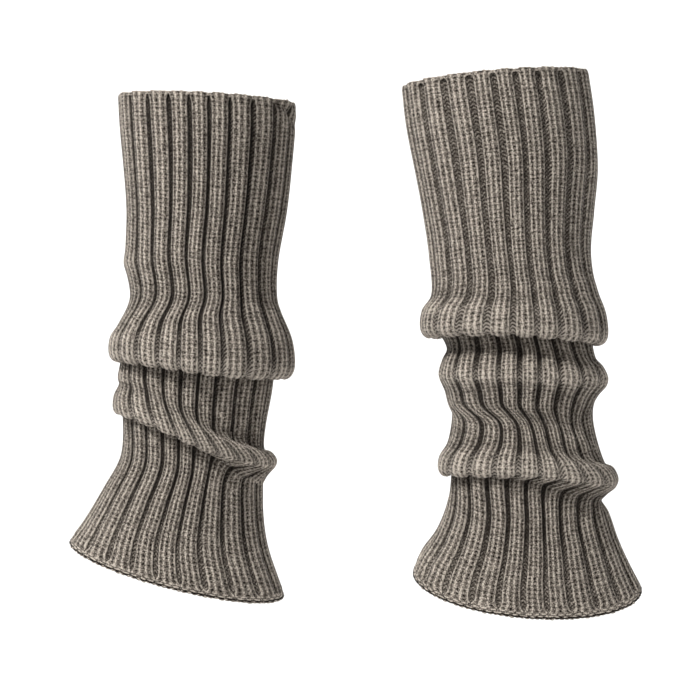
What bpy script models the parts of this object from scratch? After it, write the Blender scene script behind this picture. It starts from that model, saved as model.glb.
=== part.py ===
# A pair of ribbed knit leg warmers, worn and slouched, with nobody in them.
# Z is up, the fronts face -Y, and X runs from the left one in view to the right one.
# The origin is where the pair is held: midway between the two calves, at calf height.
from collections import namedtuple

import bpy
import numpy as np

# The tables are in millimetres, and MM turns them into metres.
MM = 0.001

# Cloth. Raised ribs run up and down, with a groove between each two.
RIBS = 20
RIB_PULL = 0.07         # third wave that draws the ribs closer in front and behind
RIB_SPREAD = 0.055      # third wave that keeps the section round while it does so
RIB_RISE = 1.2          # crest of a rib, out from the middle of the cloth
GROOVE_RISE = 0.1       # floor of a groove, out from the middle of the cloth
INSIDE_DROP = 1.3       # inner face, in from the middle of the cloth

# Borders: the bound-off edge at the top and the cast-on edge at the hem.
TOP_EDGE_TALL = 3.0
HEM_EDGE_TALL = 4.0
TOP_EDGE_RISE = 0.9     # the borders are flatter than the ribs
HEM_EDGE_RISE = 0.8
SEAM_GAP = 0.3

# A ring is a level of the tube. Its slope is how far it climbs for each mm towards +X,
# its drop is how far its front hangs below its middle, and its turn, in degrees, is how
# far the ribs have swung round towards +X. Values that differ around the leg are given
# at its four sides.
Sides = namedtuple("Sides", "left front right back")
Ring = namedtuple("Ring", "x y z wide deep slope drop turn")

# A fold is a roll of slack cloth. It swells out by its reach over its height, rolls
# under over its roll, and is tucked back up under its lip. Where the tuck is negative
# the cloth goes on down and the fold is a plain bulge.
Fold = namedtuple("Fold", "x y wide deep lip reach height roll tuck turn")

LEFT_LEG = (
    Ring(-97.8, 4, 120.0, 56.4, 56, -0.045, 4.0, Sides(3, 0, -3, 0)),
    Ring(-97.3, 4, 103.0, 55.8, 56, -0.035, 2.0, Sides(3, 0, -3, 0)),
    Ring(-97.4, 5, 77.0, 53.5, 55, -0.010, 0.0, Sides(3, 0, -3, 0)),
    Ring(-98.2, 5, 47.0, 50.8, 53, 0.000, 0.0, Sides(3, 0, -3, 0)),
    Ring(-100.7, 4, 13.0, 48.2, 50, -0.010, 0.0, Sides(3, 0, -3, 0)),
    Ring(-99.3, 3, -10.0, 46.6, 48.5, -0.010, 0.0, Sides(3, 0, -3, 0)),
    Fold(x=-103, y=1, wide=48.3, deep=48,
         lip=Sides(-49, -56, -61, -55), reach=Sides(8.5, 11, 13.0, 11),
         height=Sides(28, 44, 58, 44), roll=Sides(10, 10, 13, 10),
         tuck=Sides(2, 5, 5, 4), turn=Sides(2, 0, -2, 0)),
    Ring(-105, 0, -66, 48.5, 46, -0.110, 0.0, Sides(3, 1, -3, 0)),
    Fold(x=-107, y=-1, wide=43.5, deep=43.5,
         lip=Sides(-83, -99, -119, -103), reach=Sides(6, 8, 10, 7),
         height=Sides(24, 24, 13, 20), roll=Sides(6, 7, 7, 6),
         tuck=Sides(3, 4, -10, -2), turn=Sides(5, 12, 4, 0)),
    Ring(-107, -1, -118, 44.5, 43, -0.190, 0.0, Sides(5, 0, -5, 0)),
    Ring(-112.8, -2, -139.5, 50.5, 45, -0.140, 1.5, Sides(4, 0, -4, 0)),
    Ring(-117.5, -3, -161.5, 58.4, 47, -0.125, 3.0, Sides(3, 0, -3, 0)),
    Ring(-116.4, -4, -184.5, 68.4, 50, -0.262, 5.0, Sides(2, 0, -2, 0)),
)

RIGHT_LEG = (
    Ring(89.7, 4, 133.0, 59.4, 59, 0.075, 3.5, Sides(0, 0, 0, 0)),
    Ring(93.3, 4, 107.0, 60.2, 59, 0.020, 2.0, Sides(0, 0, 0, 0)),
    Ring(97.1, 5, 76.0, 58.4, 58, 0.000, 0.0, Sides(0, 0, 0, 0)),
    Ring(98.5, 5, 48.0, 54.6, 56, 0.000, 0.0, Sides(0, 0, 0, 0)),
    Ring(100.0, 4, 20.0, 51.4, 54, 0.000, 0.0, Sides(0, 0, 0, 0)),
    Fold(x=102.5, y=2, wide=49, deep=50,
         lip=Sides(-34, -34, -39, -37), reach=Sides(11, 11, 10, 11),
         height=Sides(34, 38, 50, 40), roll=Sides(11, 9, 10, 10),
         tuck=Sides(4, 5, 3, 5), turn=Sides(-5, 0, 5, 0)),
    Fold(x=106.6, y=1, wide=45.5, deep=46,
         lip=Sides(-62, -63, -66, -63), reach=Sides(6.5, 5.5, 10, 6),
         height=Sides(26, 25, 21, 24), roll=Sides(8, 8, 9, 8),
         tuck=Sides(-15, -16, -12, -15), turn=Sides(-4, 0, 4, 0)),
    Ring(107.3, 0, -90, 44.6, 44, -0.010, -1.0, Sides(8, 5, -3, 0)),
    Fold(x=109.3, y=-1, wide=46.8, deep=45,
         lip=Sides(-124, -121, -132, -126), reach=Sides(9.5, 9, 11.5, 9),
         height=Sides(27, 23, 18, 22), roll=Sides(7, 8, 10, 7),
         tuck=Sides(4, -4, -8, 1), turn=Sides(6, 8, 6, 0)),
    Ring(110.2, -2, -146, 51.0, 46, -0.030, 3.5, Sides(6, 0, -6, 0)),
    Ring(110.0, -3, -163.5, 57.6, 48, -0.020, 7.5, Sides(6, 0, -6, 0)),
    Ring(109.2, -3, -179, 66.4, 50, -0.040, 12.0, Sides(6, 0, -6, 0)),
    Ring(110.0, -4, -192, 73.0, 52, -0.050, 16.0, Sides(6, 0, -6, 0)),
)

# How a fold's cloth runs from its neck to its tuck: its level (up from the lip, as
# shares of the height, the roll and the tuck) and its reach (as a share of the reach,
# and the further share that a plain bulge keeps there, so that it comes in softly).
FoldStep = namedtuple("FoldStep", "height roll tuck out bulge")
FOLD_STEPS = (
    FoldStep(0.66, 0.34, 0.0, 0.32, -0.14),
    FoldStep(0.24, 0.76, 0.0, 0.88, -0.22),
    FoldStep(0.0, 0.55, 0.0, 1.0, 0.0),
    FoldStep(0.0, 0.15, 0.0, 0.85, 0.09),
    FoldStep(0.0, 0.0, 0.0, 0.60, 0.28),
    FoldStep(0.0, 0.0, 0.45, 0.32, 0.08),
    FoldStep(0.0, 0.0, 1.0, 0.08, 0.0),
)
PLAIN_BULGE_TUCK = -12  # from this tuck on, a fold is a bulge all through

KNIT = {"color": (0.25, 0.215, 0.182, 1.0), "roughness": 0.95}
EDGE_KNIT = {"color": (0.27, 0.234, 0.2, 1.0), "roughness": 0.95}


def around(angle, sides):
    """A value at each angle, smooth all round, that is exact at the four sides."""
    level = sum(sides) / 4
    across = (sides.right - sides.left) / 2
    along = (sides.front - sides.back) / 2
    pinch = (sides.front + sides.back - sides.left - sides.right) / 4
    return level + across * np.sin(angle) + along * np.cos(angle) + pinch * np.cos(2 * angle)


def section(angle):
    """Shares of the width and the depth at an angle: round, with ribs closer in front than at the sides."""
    side = (np.sin(angle) - RIB_PULL * np.sin(3 * angle)) / (1 + RIB_PULL)
    front = (np.cos(angle) - RIB_SPREAD * np.cos(3 * angle)) / (1 - RIB_SPREAD)
    return side, front


def ring_row(ring, angle):
    """The points of a ring; angle 0 is its front and 90 degrees its +X side."""
    swung = angle + np.radians(around(angle, ring.turn))
    side, front = section(swung)
    return np.stack((ring.x + ring.wide * side,
                     ring.y - ring.deep * front,
                     ring.z + ring.slope * ring.wide * side - ring.drop * front), axis=1)


def fold_rows(fold, angle):
    """The points of a fold, one row for each of its steps."""
    swung = angle + np.radians(around(angle, fold.turn))
    side, front = section(swung)
    lip, reach = around(swung, fold.lip), around(swung, fold.reach)
    height, roll, tuck = (around(swung, part) for part in (fold.height, fold.roll, fold.tuck))
    plain = np.clip(tuck / PLAIN_BULGE_TUCK, 0, 1)
    rows = []
    for step in FOLD_STEPS:
        out = (step.out + step.bulge * plain) * reach
        level = lip + step.height * height + step.roll * roll + step.tuck * tuck
        rows.append(np.stack((fold.x + (fold.wide + out) * side,
                              fold.y - (fold.deep + out) * front,
                              level), axis=1))
    return rows


def toward(start, end, distance):
    """A row of points that lies a distance from one row on the way to the next."""
    way = end - start
    return start + way / np.linalg.norm(way, axis=1, keepdims=True) * distance


def leg_rows(leg, angle):
    """All rows of the middle of the cloth, from the top of the leg to its hem."""
    rows = []
    for level in leg:
        if isinstance(level, Ring):
            rows.append(ring_row(level, angle))
        else:
            rows.extend(fold_rows(level, angle))
    top = [rows[0], toward(rows[0], rows[1], TOP_EDGE_TALL)]
    start = [toward(rows[0], rows[1], TOP_EDGE_TALL + SEAM_GAP)]
    end = [toward(rows[-1], rows[-2], HEM_EDGE_TALL + SEAM_GAP)]
    hem = [toward(rows[-1], rows[-2], HEM_EDGE_TALL), rows[-1]]
    return np.array(top + start + rows[1:-1] + end + hem)


def unit(vectors):
    return vectors / np.linalg.norm(vectors, axis=-1, keepdims=True)


def outward(rows):
    """The direction out of the cloth at each of its points."""
    steps = unit(np.diff(rows, axis=0))
    down = np.concatenate((steps[:1], steps[:-1] + steps[1:], steps[-1:]))
    round_leg = np.roll(rows, -1, axis=1) - np.roll(rows, 1, axis=1)
    return unit(np.cross(down, round_leg))


def tube_mesh(name, outer, inner):
    """A closed tube from rows of outer points and rows with half as many inner points."""
    count, wide = outer.shape[:2]
    half = wide // 2
    points = np.concatenate((outer.reshape(-1, 3), inner.reshape(-1, 3))) * MM

    def out_at(row, place):
        return row * wide + place % wide

    def in_at(row, place):
        return count * wide + row * half + place % half

    faces = []
    for row in range(count - 1):
        for place in range(wide):
            faces.append((out_at(row, place), out_at(row + 1, place),
                          out_at(row + 1, place + 1), out_at(row, place + 1)))
        for place in range(half):
            faces.append((in_at(row, place), in_at(row, place + 1),
                          in_at(row + 1, place + 1), in_at(row + 1, place)))
    for place in range(half):
        crest = 2 * place
        for row in (0, count - 1):
            rim = [(out_at(row, crest), out_at(row, crest + 1), in_at(row, place)),
                   (out_at(row, crest + 1), in_at(row, place + 1), in_at(row, place)),
                   (out_at(row, crest + 1), out_at(row, crest + 2), in_at(row, place + 1))]
            faces.extend(rim if row == 0 else [corners[::-1] for corners in rim])
    mesh = bpy.data.meshes.new(name)
    mesh.from_pydata(points.tolist(), [], faces)
    mesh.update()
    return mesh


def make_material(name, finish):
    material = bpy.data.materials.new(name)
    material.use_nodes = True
    shader = material.node_tree.nodes["Principled BSDF"]
    shader.inputs["Base Color"].default_value = finish["color"]
    shader.inputs["Roughness"].default_value = finish["roughness"]
    return material


def add_piece(name, rows, out, crest_rise, groove_rise, finish):
    """One knitted piece: ribs on its outer face, and a plain inner face."""
    rise = np.where(np.arange(rows.shape[1]) % 2 == 0, crest_rise, groove_rise)
    outer = rows + out * rise[None, :, None]
    inner = (rows - out * INSIDE_DROP)[:, ::2]
    mesh = tube_mesh(name, outer, inner)
    mesh.materials.append(make_material(name, finish))
    piece = bpy.data.objects.new(name, mesh)
    bpy.context.collection.objects.link(piece)
    return piece


def add_leg(side, leg):
    """A leg warmer: its ribbed tube and the two borders that finish it."""
    angle = np.arange(2 * RIBS) * np.pi / RIBS
    rows = leg_rows(leg, angle)
    out = outward(rows)
    add_piece(side + "_top_edge", rows[:2], out[:2], TOP_EDGE_RISE, TOP_EDGE_RISE / 2, EDGE_KNIT)
    add_piece(side + "_tube", rows[2:-2], out[2:-2], RIB_RISE, GROOVE_RISE, KNIT)
    add_piece(side + "_hem_edge", rows[-2:], out[-2:], HEM_EDGE_RISE, HEM_EDGE_RISE / 2, EDGE_KNIT)


def main():
    for thing in list(bpy.data.objects):
        bpy.data.objects.remove(thing)
    add_leg("left", LEFT_LEG)
    add_leg("right", RIGHT_LEG)


main()
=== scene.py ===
from math import pi, radians

import bpy
import numpy as np
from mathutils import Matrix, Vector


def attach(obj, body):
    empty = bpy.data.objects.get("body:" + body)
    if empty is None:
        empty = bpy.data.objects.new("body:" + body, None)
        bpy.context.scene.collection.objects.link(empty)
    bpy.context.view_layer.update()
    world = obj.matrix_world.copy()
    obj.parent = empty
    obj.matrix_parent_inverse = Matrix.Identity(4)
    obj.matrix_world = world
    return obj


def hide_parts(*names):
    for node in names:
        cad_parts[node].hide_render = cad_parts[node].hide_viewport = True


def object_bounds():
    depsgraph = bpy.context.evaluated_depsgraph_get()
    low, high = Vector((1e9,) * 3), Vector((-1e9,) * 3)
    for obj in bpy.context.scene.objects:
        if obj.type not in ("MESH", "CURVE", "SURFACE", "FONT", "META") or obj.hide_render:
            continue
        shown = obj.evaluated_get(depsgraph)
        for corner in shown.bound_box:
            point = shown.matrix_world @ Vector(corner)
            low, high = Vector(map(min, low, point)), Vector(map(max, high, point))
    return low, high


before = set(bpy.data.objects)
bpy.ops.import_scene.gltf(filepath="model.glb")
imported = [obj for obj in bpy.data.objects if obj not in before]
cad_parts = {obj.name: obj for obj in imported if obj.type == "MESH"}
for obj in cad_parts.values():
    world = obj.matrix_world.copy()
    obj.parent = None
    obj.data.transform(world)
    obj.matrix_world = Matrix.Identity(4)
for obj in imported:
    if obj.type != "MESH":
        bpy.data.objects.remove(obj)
cadBox = [list(corner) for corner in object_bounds()]
mm = 0.001

# the knit: raised ribs of three wales, with a groove of two purl wales between each pair
knit = {
    "ribs": 20,
    "wales": 5,  # to each rib with its groove
    "pull": 0.07,  # a third wave that draws the ribs closer in front and behind
    "spread": 0.055,  # a third wave that keeps the section round while it does so
    "crestRise": 1.3,  # mm, top of a rib out from the middle of the cloth
    "grooveRise": -1.3,  # mm, floor of a groove
    "wallRise": -1.5,  # mm, inner face behind a rib
    "innerRib": 0.8,  # mm, how far the purl ribs stand out inside
    "waleRidge": 0.2,  # mm, the bright lines along a rib
    "courseTall": 2.5,  # mm
    "unevenRib": 0.22,  # mm, how far ribs wander
    "wander": (2.39, 0.045),  # how that changes from rib to rib, and for each mm down
}
clothRows = {
    "stepsRound": 12,  # points round the leg for each rib
    "rowGap": 2.0,  # mm between rows of points
    "rowsBetween": (3, 14),  # the fewest and most rows from one level to the next
    "closest": 0.3,  # mm, the least that two rows may be apart
    "bandGap": 1.2,  # mm between these rows and those set out beside the edges
    "bendGain": 8.0,  # how soon a bend counts as a full one
    "bendPasses": 6,  # how often it is evened out along the cloth
    "bendSpan": 0.5,  # mm, the least length that it is read over
    "innerSteps": 6,  # points round the inside for each rib
    "bandRows": 5,  # rows of points in an edge's band, one of them shared with the tube
    "innerRows": 56,  # rows of points on the inside of a tube
}
grooves = {
    "paleFade": 30.0,  # mm over which the pale ones turn dark
    "paleOpen": 0.04,  # how much larger a share they take while pale
    "evenPitch": 12.0,  # mm from rib to rib at which they take their plain share
    "stretchOpen": 0.006,  # how much larger it is for each mm past that
    "sideShut": 0.07,  # how much smaller it is at the sides of the leg
    "uneven": 0.1,  # mm
    "wander": (2.7, 0.03),  # how that changes from groove to groove, and for each mm down
    "least": 0.8,  # mm, half the width of the narrowest
    "pinched": 0.08,  # how far they are open at the rim
    "pinchCurve": 0.7,
    "shut": 0.02,  # how far their rounded ends are open
    "overFill": 0.42,  # how far their floor rises where the cloth bends over a fold
    "bandFill": 0.82,  # how far it rises in an edge's band
}
edges = {
    "topTall": 3.0,  # mm, bound-off band
    "rim": 0.5,  # mm, the part of it that no groove reaches
    "rimFade": 0.8,  # mm below the rim over which the grooves start
    "rimFlat": 0.7,  # how flat its ribs are there
    "hemTall": 4.0,  # mm, cast-on band
    "hemFade": 1.2,  # mm above it over which the grooves start
    "borderFrom": 0.2,  # mm below its top at which its small loops start
    "borderFade": 0.8,  # mm
    "dashTall": 1.6,  # mm, the row of dashes along the hem
    "flatten": 0.35,  # mm, how much lower the ribs are in a band
    "plain": 0.5,  # how much of their bright lines goes there
    "scallop": 0.5,  # mm, how far the rim dips at each groove
    "pocket": 5.0,  # mm, length of the rounded groove ends above the hem
    "topBandRows": (0, 0.8, 1.5, 2.2),  # mm down from the rim
    "topRows": (0, 0.8, 1.7, 2.8, 4.1, 5.6, 7.3, 9.2),  # mm down from its band
    "hemRows": (9.0, 7.2, 5.8, 4.7, 3.8, 3.0, 2.2, 1.4, 0.7, 0),  # mm up from its band
    "hemBandRows": (3, 2, 1, 0),  # mm up from the hem
}
# painted shade, carried in the shade attribute and laid over the yarn's colour
shading = {
    "curve": 0.75,  # how soon the painted shade darkens down the side of a rib into its groove
    "pale": 0.5,  # how much less painted shade a pale groove has
    "over": 0.5,  # how much less painted shade there is where the cloth bends over a fold
    "band": 0.8,  # how much less painted shade there is in an edge's band
    "hem": 0.35,  # what is left of the painted shade at the hem
    "hemLight": 48.0,  # mm, how far up from the hem the grooves take to darken with painted shade
    "tucked": 0.6,  # how dark the painted shade is where the cloth bends inward, in the valleys under folds
    # painted shade over all of the inner face
    "inside": 0.35,
    # what the rims between the outer and inner faces have of painted shade, band and over
    "rim": 0.3,
}
# the yarn in lit and shaded copies of one colour: dark is painted shade, light is painted
# highlight on the knit and a random lighter tone on the edge loops
yarn = {
    "light": (0.60, 0.53, 0.45),
    "middle": (0.140, 0.119, 0.099),
    "dark": (0.008, 0.005, 0.003),
    "roughness": 0.95,
    "specular": 0.1,
    "sheen": 0.05,
    "sheenRoughness": 0.6,
    "bump": 0.8,  # mm
    "bumpStrength": 0.9,
}


def sides(left, front, right, back):
    return {"left": left, "front": front, "right": right, "back": back}


def ring(x, y, z, wide, deep, slope, drop, turn):
    return {"kind": "ring", "x": x, "y": y, "z": z, "wide": wide, "deep": deep,
            "slope": slope, "drop": drop, "turn": turn}


def fold(x, y, wide, deep, lip, reach, height, roll, tuck, turn, enter):
    return {"kind": "fold", "x": x, "y": y, "wide": wide, "deep": deep, "lip": lip,
            "reach": reach, "height": height, "roll": roll, "tuck": tuck,
            "turn": turn, "enter": enter}


# the levels of each leg from top to hem, in millimetres: rings, and folds that roll over them;
# turn and enter are how many degrees the ribs swing sideways there
leftLeg = {
    "name": "left",
    "open": 0.235,  # the plain share of each rib and groove that the groove takes
    "pale": 0,  # mm, how far down from the top the open grooves are pale: wider, with less painted shade
    "pinch": 6.0,  # mm, how far down the grooves take to open below the rim
    "levels": (
        ring(-97.8, 4, 120.0, 56.4, 56, -0.045, 4.0, sides(3, 0, -3, 0)),
        ring(-97.3, 4, 103.0, 55.8, 56, -0.035, 2.0, sides(3, 0, -3, 0)),
        ring(-97.4, 5, 77.0, 53.5, 55, -0.010, 0.0, sides(3, 0, -3, 0)),
        ring(-98.2, 5, 47.0, 50.8, 53, 0.000, 0.0, sides(3, 0, -3, 0)),
        ring(-100.7, 4, 13.0, 48.2, 50, -0.010, 0.0, sides(3, 0, -3, 0)),
        ring(-99.3, 3, -10.0, 46.6, 48.5, -0.010, 0.0, sides(3, 0, -3, 0)),
        fold(x=-103, y=1, wide=48.3, deep=48,
             lip=sides(-49, -56, -61, -55), reach=sides(8.5, 11, 13.0, 11),
             height=sides(28, 44, 58, 44), roll=sides(10, 10, 13, 10),
             tuck=sides(2, 5, 5, 4), turn=sides(2, 0, -2, 0), enter=sides(0, 0, 0, 0)),
        ring(-105, 0, -66, 48.5, 46, -0.110, 0.0, sides(3, 1, -3, 0)),
        fold(x=-107, y=-1, wide=43.5, deep=43.5,
             lip=sides(-83, -99, -119, -103), reach=sides(6, 8, 10, 7),
             height=sides(24, 24, 13, 20), roll=sides(6, 7, 7, 6),
             tuck=sides(3, 4, -10, -2), turn=sides(9, 22, 8, 0), enter=sides(3, 3, 0, 0)),
        ring(-107, -1, -118, 44.5, 43, -0.190, 0.0, sides(5, 0, -5, 0)),
        ring(-112.8, -2, -139.5, 50.5, 45, -0.140, 1.5, sides(4, 0, -4, 0)),
        ring(-117.5, -3, -161.5, 58.4, 47, -0.125, 3.0, sides(3, 0, -3, 0)),
        ring(-116.4, -4, -184.5, 68.4, 50, -0.262, 5.0, sides(2, 0, -2, 0)),
    ),
    # creases listed one by one: degrees round from the front, level in mm, reach round in degrees
    # and up in mm, tilt in mm for each degree, and rise in mm
    "creases": (
        {"at": -78, "level": 14, "wide": 16, "tall": 5, "tilt": 0.0, "rise": 1.6},
        {"at": 40, "level": -95, "wide": 24, "tall": 5, "tilt": -0.25, "rise": -2.4},
        {"at": 20, "level": -82, "wide": 12, "tall": 12, "tilt": -0.5, "rise": -1.3},
        {"at": -10, "level": 6, "wide": 40, "tall": 7, "tilt": 0.05, "rise": -0.8},
        {"at": 74, "level": 110, "wide": 15, "tall": 2.4, "tilt": -0.35, "rise": -2.2},
        {"at": 76, "level": 115, "wide": 14, "tall": 2.6, "tilt": -0.35, "rise": 1.0},
        {"at": 150, "level": 8, "wide": 30, "tall": 6, "tilt": 0.1, "rise": -1.5},
        {"at": -140, "level": -85, "wide": 26, "tall": 6, "tilt": 0.2, "rise": -1.8},
        {"at": 175, "level": -140, "wide": 22, "tall": 7, "tilt": -0.15, "rise": 1.4},
    ),
}
rightLeg = {
    "name": "right",
    "open": 0.265,
    "pale": 165,
    "pinch": 3.0,
    "levels": (
        ring(89.7, 4, 133.0, 59.4, 59, 0.075, 3.5, sides(0, 0, 0, 0)),
        ring(93.3, 4, 107.0, 60.2, 59, 0.020, 2.0, sides(0, 0, 0, 0)),
        ring(97.1, 5, 76.0, 58.4, 58, 0.000, 0.0, sides(0, 0, 0, 0)),
        ring(98.5, 5, 48.0, 54.6, 56, 0.000, 0.0, sides(0, 0, 0, 0)),
        ring(100.0, 4, 20.0, 51.4, 54, 0.000, 0.0, sides(0, 0, 0, 0)),
        fold(x=102.5, y=2, wide=49, deep=50,
             lip=sides(-34, -34, -39, -37), reach=sides(11, 11, 10, 11),
             height=sides(34, 38, 50, 40), roll=sides(11, 9, 10, 10),
             tuck=sides(4, 5, 3, 5), turn=sides(-5, 0, 5, 0), enter=sides(0, 0, 0, 0)),
        fold(x=106.6, y=1, wide=45.5, deep=46,
             lip=sides(-62, -63, -66, -63), reach=sides(6.5, 5.5, 10, 6),
             height=sides(26, 25, 21, 24), roll=sides(8, 8, 9, 8),
             tuck=sides(-15, -16, -12, -15), turn=sides(-3, 0, 3, 0), enter=sides(-5, 0, 4, 0)),
        ring(107.3, 0, -90, 44.6, 44, -0.010, -1.0, sides(14, 9, -6, 0)),
        fold(x=109.3, y=-1, wide=46.8, deep=45,
             lip=sides(-124, -121, -132, -126), reach=sides(9.5, 9, 11.5, 9),
             height=sides(27, 23, 18, 22), roll=sides(7, 8, 10, 7),
             tuck=sides(4, -4, -8, 1), turn=sides(8, 14, 15, 0), enter=sides(14, 10, -5, 0)),
        ring(110.2, -2, -146, 51.0, 46, -0.030, 3.5, sides(6, 0, -6, 0)),
        ring(110.0, -3, -163.5, 57.6, 48, -0.020, 7.5, sides(6, 0, -6, 0)),
        ring(109.2, -3, -179, 66.4, 50, -0.040, 12.0, sides(6, 0, -6, 0)),
        ring(110.0, -4, -192, 73.0, 52, -0.050, 16.0, sides(6, 0, -6, 0)),
    ),
    "creases": (
        {"at": 10, "level": -4, "wide": 60, "tall": 4.5, "tilt": 0.02, "rise": 1.3},
        {"at": -20, "level": -82, "wide": 26, "tall": 6, "tilt": -0.2, "rise": -2.0},
        {"at": 35, "level": -98, "wide": 26, "tall": 6, "tilt": -0.3, "rise": 1.6},
        {"at": 60, "level": -85, "wide": 18, "tall": 7, "tilt": 0.2, "rise": -1.2},
        {"at": 25, "level": -130, "wide": 16, "tall": 5, "tilt": -0.3, "rise": 1.5},
        {"at": 170, "level": 2, "wide": 40, "tall": 6, "tilt": 0.05, "rise": 1.3},
        {"at": -150, "level": -92, "wide": 30, "tall": 7, "tilt": 0.2, "rise": -1.9},
        {"at": 140, "level": -86, "wide": 22, "tall": 6, "tilt": -0.2, "rise": 1.6},
    ),
}

# how a fold's cloth runs from its neck, out over its roll, to its lip and back into its tuck:
# the share of each of its sizes that each row has
foldKeys = ("height", "roll", "tuck", "out", "bulge", "enter", "turn")
foldSteps = tuple(dict(zip(foldKeys, step)) for step in (
    (0.66, 0.34, 0.0, 0.32, -0.14, 0.88, 0.12),
    (0.24, 0.76, 0.0, 0.88, -0.22, 0.45, 0.55),
    (0.0, 0.55, 0.0, 1.0, 0.0, 0.1, 0.9),
    (0.0, 0.15, 0.0, 0.85, 0.09, 0.0, 1.0),
    (0.0, 0.0, 0.0, 0.60, 0.28, 0.0, 0.9),
    (0.0, 0.0, 0.45, 0.32, 0.08, 0.0, 0.5),
    (0.0, 0.0, 1.0, 0.08, 0.0, 0.0, 0.15),
))
plainBulgeTuck = -12  # mm, from this tuck on a fold is a plain bulge


def around(angle, four):
    # a value all round the leg, from those at its four sides
    level = sum(four.values()) / 4
    across = (four["right"] - four["left"]) / 2
    along = (four["front"] - four["back"]) / 2
    pinch = (four["front"] + four["back"] - four["left"] - four["right"]) / 4
    return level + across * np.sin(angle) + along * np.cos(angle) + pinch * np.cos(2 * angle)


def section(angle):
    # how far to the side and to the front a nearly round leg lies; 0 is the front
    side = (np.sin(angle) - knit["pull"] * np.sin(3 * angle)) / (1 + knit["pull"])
    front = (np.cos(angle) - knit["spread"] * np.cos(3 * angle)) / (1 - knit["spread"])
    return side, front


def levelRows(level, angle):
    # the rows of points that a ring or a fold has round the leg
    if level["kind"] == "ring":
        side, front = section(angle + np.radians(around(angle, level["turn"])))
        z = level["z"] + level["slope"] * level["wide"] * side - level["drop"] * front
        return [np.stack((level["x"] + level["wide"] * side,
                          level["y"] - level["deep"] * front, z), 1)]
    rows = []
    for step in foldSteps:
        swing = (step["enter"] * around(angle, level["enter"])
                 + step["turn"] * around(angle, level["turn"]))
        swung = angle + np.radians(swing)
        side, front = section(swung)
        part = {key: around(swung, level[key])
                for key in ("lip", "reach", "height", "roll", "tuck")}
        bulge = step["bulge"] * np.clip(part["tuck"] / plainBulgeTuck, 0, 1)
        out = (step["out"] + bulge) * part["reach"]
        z = part["lip"] + sum(step[key] * part[key] for key in ("height", "roll", "tuck"))
        rows.append(np.stack((level["x"] + (level["wide"] + out) * side,
                              level["y"] - (level["deep"] + out) * front, z), 1))
    return rows


def smoothPath(rows):
    # a smooth curve down each wale through the rows
    gap = np.linalg.norm(np.diff(rows, axis=0), axis=2)
    gap = np.sqrt(np.maximum(gap, 1e-6))[..., None]
    slope = np.diff(rows, axis=0) / gap
    before, after = gap[:-1], gap[1:]
    middle = (slope[:-1] * after + slope[1:] * before) / (before + after)
    tangent = np.concatenate((slope[:1], middle, slope[-1:]))
    path = []
    for i in range(len(rows) - 1):
        far = np.linalg.norm(rows[i + 1] - rows[i], axis=1).mean()
        steps = int(np.clip(round(far / clothRows["rowGap"]), *clothRows["rowsBetween"]))
        for t in np.linspace(0, 1, steps, endpoint=False):
            path.append((2 * t**3 - 3 * t**2 + 1) * rows[i]
                        + (t**3 - 2 * t**2 + t) * gap[i] * tangent[i]
                        + (3 * t**2 - 2 * t**3) * rows[i + 1]
                        + (t**3 - t**2) * gap[i] * tangent[i + 1])
    path.append(rows[-1])
    return np.array(path)


def unit(v):
    return v / np.maximum(np.linalg.norm(v, axis=-1, keepdims=True), 1e-12)


def outward(rows):
    steps = unit(np.diff(rows, axis=0))
    down = np.concatenate((steps[:1], steps[:-1] + steps[1:], steps[-1:]))
    return unit(np.cross(down, np.roll(rows, -1, axis=1) - np.roll(rows, 1, axis=1)))


# the slow waves that all of the cloth has
slack = {"rise": 0.5, "round": 3, "lean": 0.05, "down": 0.021, "start": 1}


def addCreases(rows, angle, creases):
    out = outward(rows)
    z = rows[..., 2]
    lift = (slack["rise"] * np.sin(slack["round"] * angle + z * slack["lean"])
            * np.sin(z * slack["down"] + slack["start"]))
    for crease in creases:
        turn = (np.degrees(angle) - crease["at"] + 180) % 360 - 180
        rise = z - crease["level"] - crease["tilt"] * turn
        lift += crease["rise"] * np.exp(-(turn / crease["wide"])**2 - (rise / crease["tall"])**2)
    return rows + out * lift[..., None]


def rowPlaces(run, fineAngle):
    # how far down each wale the rows of points lie, close together beside the edges
    top = [edges["topTall"] + step for step in edges["topRows"]]
    hem = [edges["hemTall"] + step for step in edges["hemRows"]]
    dip = 0.5 - 0.5 * np.cos(fineAngle * knit["ribs"])  # the rim dips at each groove
    rimRows = [d + (1 - d / edges["topTall"]) * edges["scallop"] * dip
               for d in edges["topBandRows"]]
    meanRun = run.mean(1)
    inside = ((meanRun > top[-1] + clothRows["bandGap"])
              & (meanRun < meanRun[-1] - hem[0] - clothRows["bandGap"]))
    at = np.concatenate((rimRows, [np.full(len(fineAngle), d) for d in top], run[inside],
                         [run[-1] - d for d in hem], [run[-1] - d for d in edges["hemBandRows"]]))
    for i in range(1, len(at)):
        at[i] = np.maximum(at[i], at[i - 1] + clothRows["closest"])
    return np.minimum(at, run[-1])


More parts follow.
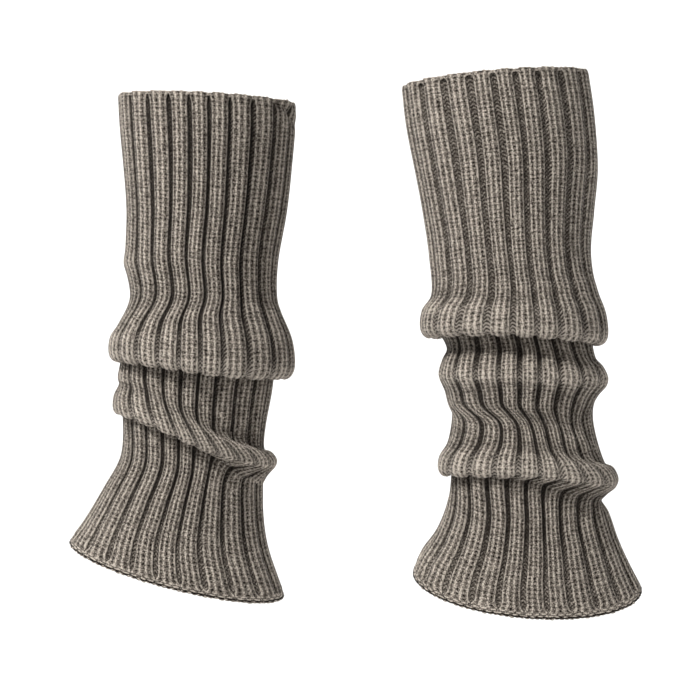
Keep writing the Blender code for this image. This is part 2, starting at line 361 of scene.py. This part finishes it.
def clothOf(leg):
    # the middle of the cloth: points, outward directions, and how far down each wale they lie
    count = knit["ribs"] * clothRows["stepsRound"]
    fineAngle = np.arange(count) * 2 * np.pi / count
    rows = np.array([row for level in leg["levels"] for row in levelRows(level, fineAngle)])
    rows = addCreases(smoothPath(rows), fineAngle, leg["creases"])
    run = np.cumsum(np.linalg.norm(np.diff(rows, axis=0), axis=2), axis=0)
    run = np.concatenate((np.zeros((1, count)), run))
    at = rowPlaces(run, fineAngle)
    points = np.empty(at.shape + (3,))
    for j in range(count):
        for axis in range(3):
            points[:, j, axis] = np.interp(at[:, j], run[:, j], rows[:, j, axis])
    out = outward(points)
    # how sharply the cloth bends over a fold, from 0 to 1, or inward, down to -1
    lean = np.zeros(at.shape)
    step = np.maximum(at[2:] - at[:-2], clothRows["bendSpan"])
    lean[1:-1] = ((out[2:] - out[:-2]) * unit(points[2:] - points[:-2])).sum(-1) / step
    bend = np.clip(lean * clothRows["bendGain"], -1, 1)
    for _ in range(clothRows["bendPasses"]):
        bend[1:-1] = (bend[:-2] + 2 * bend[1:-1] + bend[2:]) / 4
    return {"open": leg["open"], "pinch": leg["pinch"], "pale": leg["pale"], "count": count,
            "points": points, "out": out, "fromTop": at, "fromHem": run[-1] - at,
            "length": run[-1], "bend": bend}


def lookUp(table, angle):
    # values of a table with a column for each fine angle, at other angles, all round
    count = table.shape[1]
    place = (angle / (2 * np.pi) * count) % count
    low = np.floor(place).astype(int)
    part = place - low
    row = np.arange(table.shape[0]).reshape((-1,) + (1,) * (angle.ndim - 1))
    one, two = table[row, low % count], table[row, (low + 1) % count]
    part = part[..., None] if table.ndim == 3 else part
    return one * (1 - part) + two * part


# one rib and half of the grooves beside it: where each column lies, as a share of the rib's half
# width and of the groove's, its share of the rib's rise and of a wale's ridge, and its wale
ribColumns = tuple(dict(zip(("rib", "groove", "rise", "ridge", "wale"), column)) for column in (
    (-1.0, 0.0, 0.50, 0.2, -1.5), (-0.88, 0.0, 0.70, 0.5, -1.32), (-0.66, 0.0, 0.86, -0.9, -1.0),
    (-0.48, 0.0, 0.93, 0.2, -0.72), (-0.33, 0.0, 0.97, 1.0, -0.5), (-0.17, 0.0, 0.99, 0.1, -0.25),
    (0.0, 0.0, 1.0, -0.9, 0.0),
    (0.17, 0.0, 0.99, 0.1, 0.25), (0.33, 0.0, 0.97, 1.0, 0.5), (0.48, 0.0, 0.93, 0.2, 0.72),
    (0.66, 0.0, 0.86, -0.9, 1.0), (0.88, 0.0, 0.70, 0.5, 1.32), (1.0, 0.0, 0.50, 0.2, 1.5),
    (1.03, 0.05, 0.22, 0.0, 1.75), (1.0, 0.35, 0.04, 0.0, 2.1), (1.0, 1.0, 0.0, 0.35, 2.5),
    (1.0, 1.65, 0.04, 0.0, 2.9), (0.97, 1.95, 0.22, 0.0, 3.25)))
firstWale = 1.5  # the wale in the middle of the first rib
innerWale = 2.5  # the wale behind it, inside


def ribbedGrid(cloth, rows):
    # the outer face between two rows of the cloth, with its ribs
    ribs = np.arange(knit["ribs"])
    spread = np.linalg.norm(np.roll(cloth["points"], -1, 1) - np.roll(cloth["points"], 1, 1),
                            axis=2)
    spread *= cloth["count"] / (4 * np.pi)  # mm for each radian
    ribAngle = np.broadcast_to(ribs * 2 * np.pi / knit["ribs"], (len(spread), len(ribs)))[rows]
    perRadian = lookUp(spread[rows], ribAngle)
    fromTop = lookUp(cloth["fromTop"][rows], ribAngle)
    fromHem = lookUp(cloth["fromHem"][rows], ribAngle)
    bend = lookUp(cloth["bend"][rows], ribAngle)
    over = np.clip(bend, 0, 1)
    pitch = perRadian * 2 * np.pi / knit["ribs"]
    pale = np.clip((cloth["pale"] - fromTop) / grooves["paleFade"], 0, 1)
    share = (cloth["open"] + grooves["paleOpen"] * pale
             + grooves["stretchOpen"] * (pitch - grooves["evenPitch"])
             - grooves["sideShut"] * np.sin(ribAngle)**2)
    groove = 0.5 * pitch * share
    byRib, byDepth = grooves["wander"]
    groove = np.maximum(groove + grooves["uneven"] * np.sin(ribs * byRib + fromTop * byDepth),
                        grooves["least"])
    opened = np.clip((fromTop - edges["rim"]) / cloth["pinch"], grooves["pinched"], 1)
    pocket = np.clip((fromHem - edges["hemTall"]) / edges["pocket"], grooves["shut"], 1)
    opened = opened**grooves["pinchCurve"] * np.sqrt(1 - (1 - pocket)**2)
    groove = groove * opened
    half = 0.5 * pitch - groove
    byRib, byDepth = knit["wander"]
    sway = knit["unevenRib"] * np.sin(ribs * byRib + fromTop * byDepth) * opened
    inTop = (edges["rim"] + edges["rimFade"] - fromTop) / edges["rimFade"]
    inHem = (edges["hemTall"] + edges["hemFade"] - fromHem) / edges["hemFade"]
    inBand = np.maximum(edges["rimFlat"] * np.clip(inTop, 0, 1), np.clip(inHem, 0, 1))
    crest = knit["crestRise"] - edges["flatten"] * inBand
    fill = np.maximum(grooves["overFill"] * over, grooves["bandFill"] * inBand)
    floor = knit["grooveRise"] + (crest - knit["grooveRise"]) * fill
    ridge = knit["waleRidge"] * (1 - edges["plain"] * inBand)
    angles, rises, wales = [], [], []
    for column in ribColumns:
        aside = column["rib"] * half + column["groove"] * groove
        if column["groove"] > 1:  # past the middle of the groove, its far half is the next rib's
            nextHalf, nextGroove = np.roll(half, -1, 1), np.roll(groove, -1, 1)
            aside = pitch - nextHalf * column["rib"] - (2 - column["groove"]) * nextGroove
        angles.append(ribAngle + (aside + sway) / perRadian)
        rises.append(floor + (crest - floor) * column["rise"] + ridge * column["ridge"])
        wales.append(np.broadcast_to(firstWale + column["wale"] + knit["wales"] * ribs,
                                     pitch.shape))

    def inColumns(values):
        return np.stack(values, 2).reshape((pitch.shape[0], -1))

    angles, rises, wales = inColumns(angles), inColumns(rises), inColumns(wales)
    # painted shade: darker down each rib's sides into its groove, with less in pale grooves, over
    # folds, in the bands and near the hem
    nearHem = np.clip((fromHem - edges["hemTall"]) / shading["hemLight"], shading["hem"], 1)
    lighter = ((1 - shading["pale"] * pale) * (1 - shading["over"] * over)
               * (1 - shading["band"] * inBand) * nearHem)
    # more painted shade in the valleys where the cloth bends inward under a fold
    tucked = shading["tucked"] * np.clip(-bend, 0, 1)
    depth = [(1 - column["rise"])**shading["curve"] * lighter for column in ribColumns]
    shade = inColumns([dark + (1 - dark) * tucked for dark in depth])
    inBorder = (edges["hemTall"] - edges["borderFrom"] - fromHem) / edges["borderFade"]
    border = np.clip(inBorder, 0, 1)
    border = border + np.clip(edges["dashTall"] - fromHem, 0, 1)  # past 1 in the dashes
    out = unit(lookUp(cloth["out"][rows], angles))
    points = lookUp(cloth["points"][rows], angles) + out * rises[..., None]
    length = lookUp(cloth["length"][None].repeat(points.shape[0], 0), angles)
    return {"points": points, "wales": wales, "shade": shade,
            "down": lookUp(cloth["fromTop"][rows], angles) / length,
            "band": inColumns([border] * len(ribColumns)),
            "over": inColumns([over] * len(ribColumns)),
            "courses": round(float(cloth["length"].mean()) / knit["courseTall"])}


def innerGrid(cloth, rows):
    # the inner face, with the rib seen from its back
    count = knit["ribs"] * clothRows["innerSteps"]
    angles = np.broadcast_to(np.arange(count) * 2 * np.pi / count, (len(rows), count))
    rise = knit["wallRise"] - knit["innerRib"] * (0.5 - 0.5 * np.cos(angles * knit["ribs"]))
    fromTop = lookUp(cloth["fromTop"][rows], angles)
    fromHem = lookUp(cloth["fromHem"][rows], angles)
    out = unit(lookUp(cloth["out"][rows], angles))
    points = lookUp(cloth["points"][rows], angles) + out * rise[..., None]
    wales = angles / (2 * np.pi) * knit["wales"] * knit["ribs"] + innerWale
    # the whole inner face gets an even painted shade
    return {"points": points, "wales": wales, "down": fromTop / (fromHem + fromTop),
            "shade": shading["inside"] * np.ones(angles.shape),
            "band": np.zeros(angles.shape), "over": np.zeros(angles.shape)}


# where each face lies in the baked map, from its lower left corner
bakeMap = {
    "margin": 0.002,
    "inMargins": 0.996,  # what the margins leave
    "seam": 0.01,  # wales, a little room beside the last one
    "outer": {"from": (0, 0), "size": (1, 0.78)},
    "inner": {"from": (0, 0.79), "size": (1, 0.2)},
    "rim": ((0.0005, 0.99), (0.001, 0.9995), (0.0015, 0.99)),
}


def rimFaces(start, wideOut, wideIn, flip):
    # the triangles between the last row of the outer face and that of the inner one
    faces = []
    j = 0
    for i in range(wideOut):
        a, b = start + i, start + (i + 1) % wideOut
        while (j + 0.5) / wideIn < (i + 0.5) / wideOut and j < wideIn:
            c, d = start + wideOut + j, start + wideOut + (j + 1) % wideIn
            faces.append((a, c, d) if flip else (a, d, c))
            j += 1
        c = start + wideOut + j % wideIn
        faces.append((a, c, b) if flip else (a, b, c))
    return faces


def shellMesh(name, outer, inner):
    # a closed shell: an outer grid, an inner grid, and the rims that join them
    points, quads, stitch, bake = [], [], [], []
    start = 0
    span = knit["wales"] * knit["ribs"]
    for grid, place, flip in ((outer, bakeMap["outer"], False), (inner, bakeMap["inner"], True)):
        tall, wide = grid["points"].shape[:2]
        points.append(grid["points"].reshape(-1, 3))
        row, col = np.meshgrid(np.arange(tall - 1), np.arange(wide), indexing="ij")
        row, col = row.ravel(), col.ravel()
        nextCol = (col + 1) % wide
        corners = [(row, col), (row + 1, col), (row + 1, nextCol), (row, nextCol)]
        if flip:
            corners = corners[::-1]
        quads.append(np.stack([start + r * wide + c for r, c in corners], 1))
        # the last column's faces reach round to the first, a whole turn of wales further on
        u = np.stack([grid["wales"][r, c] + np.where((c == 0) & (col == wide - 1), span, 0)
                      for r, c in corners], 1)
        v = np.stack([grid["down"][r, c] for r, c in corners], 1)
        stitch.append(np.stack((u, v * outer["courses"]), -1).reshape(-1, 2))
        low = grid["wales"][:, 0].min()
        square = np.stack(((u - low) / (span + bakeMap["seam"]), v), -1)
        square = bakeMap["margin"] + bakeMap["inMargins"] * square
        bake.append((square * np.array(place["size"]) + np.array(place["from"])).reshape(-1, 2))
        start += tall * wide
    rims = []
    wideOut, wideIn = outer["points"].shape[1], inner["points"].shape[1]
    for end, flip in ((0, False), (-1, True)):
        points += [outer["points"][end], inner["points"][end]]
        rims += rimFaces(start, wideOut, wideIn, flip)
        start += wideOut + wideIn
    mesh = bpy.data.meshes.new(name)
    mesh.from_pydata((np.concatenate(points) * mm).tolist(), [],
                     np.concatenate(quads).tolist() + rims)
    maps = {"OFBake": bake + [np.tile(np.array(bakeMap["rim"]), (len(rims), 1))],
            "stitch": stitch + [np.zeros((3 * len(rims), 2))]}
    for layer, values in maps.items():
        uv = mesh.uv_layers.new(name=layer)
        uv.data.foreach_set("uv", np.concatenate(values).astype(np.float32).ravel())
    # the rims' share of painted shade, and of band and over
    onRims = np.full(2 * (wideOut + wideIn), shading["rim"])
    for key in ("shade", "band", "over"):
        data = np.concatenate((outer[key].ravel(), inner[key].ravel(), onRims))
        layer = mesh.attributes.new(key, "FLOAT", "POINT")
        layer.data.foreach_set("value", data.astype(np.float32))
    mesh.shade_smooth()
    return mesh


# a small helper for the yarn's shader graphs
class yarnGraph:
    def __init__(self, material):
        material.use_nodes = True
        self.tree = material.node_tree
        self.shader = self.tree.nodes["Principled BSDF"]

    def link(self, value, socket):
        if isinstance(value, (int, float)):
            socket.default_value = value
        else:
            self.tree.links.new(value, socket)

    def math(self, kind, *values):
        node = self.tree.nodes.new("ShaderNodeMath")
        node.operation = kind
        for value, socket in zip(values, node.inputs):
            self.link(value, socket)
        return node.outputs[0]

    def less(self, one, two):
        return self.math("SUBTRACT", one, two)

    def times(self, one, two):
        return self.math("MULTIPLY", one, two)

    def add(self, base, value, by):
        # the base, and this much of the value
        return self.math("MULTIPLY_ADD", value, by, base)

    def blend(self, factor, one, two):
        return self.add(one, factor, self.less(two, one))

    def hump(self, value):
        # rises and falls once between whole numbers
        return self.math("SINE", self.times(self.math("FRACT", value), pi))

    def apart(self, value):
        # 1 at whole numbers and 0 halfway between them
        return self.math("ABSOLUTE", self.add(-1.0, self.math("FRACT", value), 2.0))

    def smooth(self, value, limits):
        node = self.tree.nodes.new("ShaderNodeMapRange")
        node.interpolation_type = "SMOOTHSTEP"
        for item, socket in zip((value, *limits, 0.0, 1.0), node.inputs):
            self.link(item, socket)
        return node.outputs[0]

    def attribute(self, name):
        node = self.tree.nodes.new("ShaderNodeAttribute")
        node.attribute_name = name
        return node.outputs["Fac"]

    def noise(self, size):
        place = self.tree.nodes.new("ShaderNodeTexCoord")
        node = self.tree.nodes.new("ShaderNodeTexNoise")
        node.inputs["Scale"].default_value = size["scale"]
        node.inputs["Detail"].default_value = size["detail"]
        self.tree.links.new(place.outputs["Object"], node.inputs["Vector"])
        return node.outputs["Fac"]

    def speck(self, wale, course):
        # one random value for each stitch
        place = self.tree.nodes.new("ShaderNodeCombineXYZ")
        self.link(self.math("FLOOR", wale), place.inputs[0])
        self.link(self.math("FLOOR", course), place.inputs[1])
        node = self.tree.nodes.new("ShaderNodeTexWhiteNoise")
        node.noise_dimensions = "2D"
        self.tree.links.new(place.outputs[0], node.inputs["Vector"])
        return node.outputs["Value"]

    def mix(self, factor, one, two):
        node = self.tree.nodes.new("ShaderNodeMix")
        node.data_type = "RGBA"
        self.link(factor, node.inputs[0])
        for value, socket in ((one, node.inputs[6]), (two, node.inputs[7])):
            if isinstance(value, tuple):
                socket.default_value = (*value, 1.0)
            else:
                self.tree.links.new(value, socket)
        return node.outputs[2]

    def finish(self, color):
        self.tree.links.new(color, self.shader.inputs["Base Color"])
        self.shader.inputs["Roughness"].default_value = yarn["roughness"]
        self.shader.inputs["Sheen Weight"].default_value = yarn["sheen"]


# the stitches: a pair is where something starts and where it is whole, in wales, courses or
# heights; the other numbers are shares of a stitch's height, and noise scales are for metres
# a stitch's height sets its bump and also its colour, as painted shade low down and painted
# highlight high up
stitches = {
    "courseDrift": {"scale": 150.0, "detail": 2.0, "by": 0.9},
    "waleDrift": {"scale": 330.0, "detail": 2.0, "by": 0.3},
    "purl": (3.0, 3.25),  # where the purl wales start, after the three knit ones
    "slant": 0.6,  # courses, how much higher a leg ends than it starts
    "strand": 0.2,
    "line": (0.45, 0.98),  # the raised line between two wales, painted bright as a highlight
    "lineTall": 0.3,
    "knitTall": 0.36,
    "outerLeg": (1.05, 1.35),  # the legs at the two sides of a rib, out from its middle
    "outerTall": 0.3,
    "patch": {"scale": 420.0, "detail": 1.0},
    "patchy": (0.36, 0.62),
    "holeWide": (0.05, 0.5),
    "holeTall": (0.05, 0.7),
    "holeLeast": 0.4,  # how deep a hole is outside the patches
    "holePatch": 0.6,  # how much deeper it is in them
    "holeDeep": -0.78,
    "bow": 0.3,  # courses, how far a purl bar bows
    "barCurve": 1.3,
    "barTall": 0.48,
    "barOver": 0.85,  # how much taller it is where the cloth bends over a fold
    "purlTall": 0.12,
    "purlOver": -0.18,
    "brickTall": 1.7,  # rows of the border's small loops in a course
    "brickStep": 0.5,  # wales, from one row to the next
    "loopTall": 0.75,
    "borderTall": 0.3,
    "dash": (1.2, 1.9),
    "dashGap": 1.1,
    "fuzz": {"scale": 2600.0, "detail": 3.0, "by": 0.2},
    "mottle": {"scale": 1300.0, "detail": 3.0, "by": 2.0},
    "overLight": 0.2,  # painted highlight: how much lighter the cloth is where it bends over a fold
    "purlLight": 0.08,  # and how much more so its purl wales
    "speck": 0.16,  # how much the stitches differ
    # where the stitch height turns the yarn from dark to middle and from middle to light, as
    # painted shade and highlight
    "middle": (0.1, 0.6),
    "light": (0.55, 1.15),
    # how far the shade attribute's painted shade darkens the yarn
    "shade": 0.9,
    "edgeFuzz": {"scale": 2200.0, "detail": 3.0},
}


def knitStitch(graph, wale, course, inRib):
    # a V: two legs that lean out from a small hole, low and painted dark as shade, into a line
    # beside the next wale
    fromMiddle = graph.apart(wale)
    strand = graph.hump(graph.add(course, fromMiddle, stitches["slant"]))
    line = graph.smooth(fromMiddle, stitches["line"])
    fromRib = graph.math("ABSOLUTE", graph.less(inRib, firstWale))
    outerLeg = graph.smooth(fromRib, stitches["outerLeg"])
    patchy = graph.smooth(graph.noise(stitches["patch"]), stitches["patchy"])
    hole = graph.times(graph.less(1.0, graph.smooth(fromMiddle, stitches["holeWide"])),
                       graph.less(1.0, graph.smooth(graph.apart(course), stitches["holeTall"])))
    hole = graph.times(hole, graph.add(stitches["holeLeast"], patchy, stitches["holePatch"]))
    tall = graph.add(stitches["knitTall"], line, stitches["lineTall"])
    tall = graph.add(tall, strand, stitches["strand"])
    tall = graph.add(tall, graph.times(outerLeg, patchy), stitches["outerTall"])
    return graph.add(tall, hole, stitches["holeDeep"])


def purlStitch(graph, wale, course, over):
    # a bar that bows up and down from one wale to the next
    bow = graph.add(course, graph.math("COSINE", graph.times(wale, 2 * pi)), stitches["bow"])
    bar = graph.math("POWER", graph.hump(bow), stitches["barCurve"])
    tall = graph.add(stitches["purlTall"], over, stitches["purlOver"])
    return graph.add(tall, bar, graph.add(stitches["barTall"], over, stitches["barOver"]))


def borderStitch(graph, wale, course, band):
    # small loops set like bricks, with a row of dashes along the hem
    rows = graph.times(course, stitches["brickTall"])
    brick = graph.add(wale, graph.math("FLOOR", rows), stitches["brickStep"])
    loop = graph.times(graph.hump(brick), graph.hump(rows))
    border = graph.add(stitches["borderTall"], loop, stitches["loopTall"])
    dash = graph.smooth(band, stitches["dash"])
    return graph.add(border, dash, graph.less(loop, stitches["dashGap"]))


def knitMaterial(name):
    # stitches drawn from the stitch map: u counts wales, v counts courses down from the top
    graph = yarnGraph(bpy.data.materials.new(name))
    place = graph.tree.nodes.new("ShaderNodeUVMap")
    place.uv_map = "stitch"
    split = graph.tree.nodes.new("ShaderNodeSeparateXYZ")
    graph.tree.links.new(place.outputs[0], split.inputs[0])
    course = graph.add(split.outputs[1], graph.noise(stitches["courseDrift"]),
                       stitches["courseDrift"]["by"])
    wale = graph.add(split.outputs[0], graph.less(graph.noise(stitches["waleDrift"]), 0.5),
                     stitches["waleDrift"]["by"])
    over, band = graph.attribute("over"), graph.attribute("band")
    inRib = graph.math("FLOORED_MODULO", wale, knit["wales"])
    purl = graph.smooth(inRib, stitches["purl"])
    tall = graph.blend(purl, knitStitch(graph, wale, course, inRib),
                       purlStitch(graph, wale, course, over))
    tall = graph.blend(graph.math("MINIMUM", band, 1.0), tall,
                       borderStitch(graph, wale, course, band))
    tall = graph.add(tall, graph.noise(stitches["fuzz"]), stitches["fuzz"]["by"])
    bump = graph.tree.nodes.new("ShaderNodeBump")
    bump.inputs["Distance"].default_value = yarn["bump"] * mm
    bump.inputs["Strength"].default_value = yarn["bumpStrength"]
    graph.tree.links.new(tall, bump.inputs["Height"])
    graph.tree.links.new(bump.outputs[0], graph.shader.inputs["Normal"])
    # the yarn's colour follows the stitch height: painted shade in the holes and low parts,
    # painted highlight on the raised yarn, with random mottle and specks
    mottle = graph.less(graph.noise(stitches["mottle"]), 0.5)
    lit = graph.add(tall, mottle, stitches["mottle"]["by"])
    # a painted highlight where the cloth bends over a fold, more on its purl wales
    lit = graph.add(lit, over, graph.add(stitches["overLight"], purl, stitches["purlLight"]))
    lit = graph.add(lit, graph.less(graph.speck(wale, course), 0.5), stitches["speck"])
    color = graph.mix(graph.smooth(lit, stitches["middle"]), yarn["dark"], yarn["middle"])
    color = graph.mix(graph.smooth(lit, stitches["light"]), color, yarn["light"])
    # painted shade from the shade attribute, mixed toward the dark yarn
    shade = graph.times(graph.attribute("shade"), stitches["shade"])
    graph.finish(graph.mix(shade, color, yarn["dark"]))
    graph.shader.inputs["Sheen Roughness"].default_value = yarn["sheenRoughness"]
    graph.shader.inputs["Specular IOR Level"].default_value = yarn["specular"]
    return bpy.data.materials[name]


def yarnMaterial(name):
    # plain yarn, for the loops along the edges
    graph = yarnGraph(bpy.data.materials.new(name))
    graph.finish(graph.mix(graph.noise(stitches["edgeFuzz"]), yarn["middle"], yarn["light"]))
    return bpy.data.materials[name]


def addPiece(name, mesh, material):
    mesh.materials.append(material)
    piece = bpy.data.objects.new(name, mesh)
    bpy.context.collection.objects.link(piece)
    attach(piece, "root")
    return piece


# the loops of yarn along each edge: sizes in mm, but long is a share of a wale's width
topLoops = {"around": 10, "thick": 5, "long": 0.60, "tall": 0.6, "lean": 0.4, "twist": 0.3,
            "lift": -0.35, "proud": 0.1, "yarn": 0.5, "uneven": 0.3}
hemLoops = {"around": 10, "thick": 5, "long": 0.45, "tall": 0.8, "lean": 0.3, "twist": 0.3,
            "lift": 0.75, "proud": 0.1, "yarn": 0.55, "uneven": 0.25}
loopWaves = (2.6, 1.1, 0.6)  # what sets each loop a little higher or lower than the last


def loopChain(name, cloth, row, size):
    # a row of yarn loops along an edge, one for each wale, joined in one mesh
    count = knit["wales"] * knit["ribs"]
    angles = (np.arange(count) * 2 * np.pi / count)[None, :]
    middle = lookUp(cloth["points"][row][None], angles)[0]
    out = unit(lookUp(cloth["out"][row][None], angles)[0])
    along = unit(np.roll(middle, -1, 0) - np.roll(middle, 1, 0))
    down = unit(np.cross(along, out))
    pitch = np.linalg.norm(np.roll(middle, -1, 0) - middle, axis=1)
    turn = np.linspace(0, 2 * np.pi, size["around"], endpoint=False)
    tube = np.linspace(0, 2 * np.pi, size["thick"], endpoint=False)
    sine, cosine = np.sin(tube)[None, :, None], np.cos(tube)[None, :, None]
    i, j = np.meshgrid(np.arange(len(turn)), np.arange(len(tube)), indexing="ij")
    i, j = i.ravel(), j.ravel()
    nextI, nextJ = (i + 1) % len(turn), (j + 1) % len(tube)
    loopFaces = np.stack((i * len(tube) + j, i * len(tube) + nextJ,
                          nextI * len(tube) + nextJ, nextI * len(tube) + j), 1)
    quick, slow, start = loopWaves
    points, faces = [], []
    for k in range(count):
        long = pitch[k] * size["long"]
        wave = np.sin(quick * k) * np.sin(slow * k + start)
        lift = size["lift"] + size["uneven"] * wave
        path = (middle[k] + out[k] * size["proud"] - down[k] * lift
                + along[k] * (np.cos(turn) * long)[:, None]
                + down[k] * (np.sin(turn) * size["tall"] + np.cos(turn) * size["lean"])[:, None]
                + out[k] * (np.sin(2 * turn) * size["twist"])[:, None])
        tangent = unit(np.roll(path, -1, 0) - np.roll(path, 1, 0))
        sideways = unit(np.cross(tangent, np.broadcast_to(out[k], tangent.shape)))
        up = np.cross(sideways, tangent)
        loop = path[:, None] + size["yarn"] * (sideways[:, None] * cosine + up[:, None] * sine)
        points.append(loop.reshape(-1, 3))
        faces.append(k * len(turn) * len(tube) + loopFaces)
    mesh = bpy.data.meshes.new(name)
    mesh.from_pydata((np.concatenate(points) * mm).tolist(), [], np.concatenate(faces).tolist())
    mesh.shade_smooth()
    return mesh


def buildLeg(leg, clothMaterial, edgeMaterial):
    cloth = clothOf(leg)
    total, band = len(cloth["points"]), clothRows["bandRows"]
    parts = (
        {"node": "_top_edge", "rows": np.arange(0, band), "slot": "edge_knit"},
        {"node": "_tube", "rows": np.arange(band - 1, total - band + 1), "slot": "knit"},
        {"node": "_hem_edge", "rows": np.arange(total - band, total), "slot": "edge_knit"},
    )
    extra, sheet = [], None
    for part in parts:
        rows = innerRows = part["rows"]
        if part["node"] == "_tube":
            fewer = np.linspace(0, len(rows) - 1, clothRows["innerRows"]).astype(int)
            innerRows = rows[np.unique(fewer)]
        outer = ribbedGrid(cloth, rows)
        inner = innerGrid(cloth, innerRows)
        name = leg["name"] + part["node"].title().replace("_", "")
        mesh = shellMesh(name, outer, inner)
        piece = addPiece(name, mesh, clothMaterial)
        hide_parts(leg["name"] + part["node"])
        if part["node"] == "_tube":
            sheet = piece
        else:
            extra.append(piece)
        triangles = sum(len(p.vertices) - 2 for p in mesh.polygons)
        print(name, "rows", outer["points"].shape, "triangles", triangles)
    for name, row, size in (("TopLoops", 0, topLoops), ("HemLoops", total - 1, hemLoops)):
        chain = loopChain(leg["name"] + name, cloth, row, size)
        extra.append(addPiece(leg["name"] + name, chain, edgeMaterial))


# one pale sweep all round: a floor that curves up into a wall, in metres
stage = {"drop": 0.4, "floor": 2.0, "curve": 1.0, "wall": 3.5, "around": 96, "bendSteps": 16,
         "color": (0.9, 0.9, 0.9, 1), "roughness": 0.9}


def buildStage():
    lowest = cadBox[0][2] - stage["drop"]
    profile = [(stage["floor"] + stage["curve"] * np.sin(t), stage["curve"] * (1 - np.cos(t)))
               for t in np.linspace(0, np.pi / 2, stage["bendSteps"])]
    profile.append((stage["floor"] + stage["curve"], stage["wall"]))
    turn = np.arange(stage["around"]) * 2 * np.pi / stage["around"]
    points = [(r * np.cos(t), r * np.sin(t), lowest + z) for r, z in profile for t in turn]
    faces = [tuple(range(stage["around"]))]
    for i in range(len(profile) - 1):
        low, high = i * stage["around"], (i + 1) * stage["around"]
        for j in range(stage["around"]):
            k = (j + 1) % stage["around"]
            faces.append((low + j, high + j, high + k, low + k))
    mesh = bpy.data.meshes.new("sweep")
    mesh.from_pydata(points, [], faces)
    mesh.shade_smooth()
    material = bpy.data.materials.new("sweepPaper")
    material.use_nodes = True
    shader = material.node_tree.nodes["Principled BSDF"]
    shader.inputs["Base Color"].default_value = stage["color"]
    shader.inputs["Roughness"].default_value = stage["roughness"]
    mesh.materials.append(material)
    sweep = bpy.data.objects.new("sweep", mesh)
    bpy.context.collection.objects.link(sweep)


# soft round lights: metres and watts; the first two aim at the pair, the last at the wall
lights = (
    {"name": "key", "place": (-0.8, -0.85, 1.1), "size": 0.3, "power": 31,
     "target": (0, 0, -0.03)},
    {"name": "fill", "place": (1.0, -1.0, 0.7), "size": 0.8, "power": 3,
     "target": (0, 0, -0.03)},
    {"name": "backdropLight", "place": (0, 0.9, 1.6), "size": 1.6, "power": 55,
     "target": (0, 2.4, 0.0)},
)


def addLight(name, place, size, power, target):
    light = bpy.data.lights.new(name, "AREA")
    light.shape = "DISK"
    light.size = size
    light.energy = power
    lamp = bpy.data.objects.new(name, light)
    bpy.context.collection.objects.link(lamp)
    lamp.location = place
    aim = bpy.data.objects.new(name + "Aim", None)
    bpy.context.collection.objects.link(aim)
    aim.location = target
    look = lamp.constraints.new("TRACK_TO")
    look.target = aim
    look.track_axis = "TRACK_NEGATIVE_Z"
    look.up_axis = "UP_Y"


# the camera is level with the middle of the pair, a metre in front: metres, but sensor in mm
view = {"away": 1.0, "across": -0.0045, "level": -0.043, "wide": 0.455, "sensor": 36}


def addCamera():
    camera = bpy.data.cameras.new("camera")
    camera.sensor_width = view["sensor"]
    camera.lens = view["sensor"] * view["away"] / view["wide"]
    eye = bpy.data.objects.new("camera", camera)
    bpy.context.collection.objects.link(eye)
    eye.location = (view["across"], -view["away"], view["level"])
    eye.rotation_euler = (radians(90), 0, 0)
    bpy.context.scene.camera = eye


studio = {"color": (1, 1, 1, 1), "strength": 0.02}


def addWorld():
    world = bpy.data.worlds.new("studio")
    world.use_nodes = True
    background = world.node_tree.nodes["Background"]
    background.inputs["Color"].default_value = studio["color"]
    background.inputs["Strength"].default_value = studio["strength"]
    bpy.context.scene.world = world


clothMaterial = knitMaterial("ribKnit")
edgeMaterial = yarnMaterial("edgeYarn")
for leg in (leftLeg, rightLeg):
    buildLeg(leg, clothMaterial, edgeMaterial)
    print("built", leg["name"])
buildStage()
for light in lights:
    addLight(**light)
addWorld()
addCamera()
bpy.context.scene.view_settings.view_transform = "Standard"
print("stage ready")
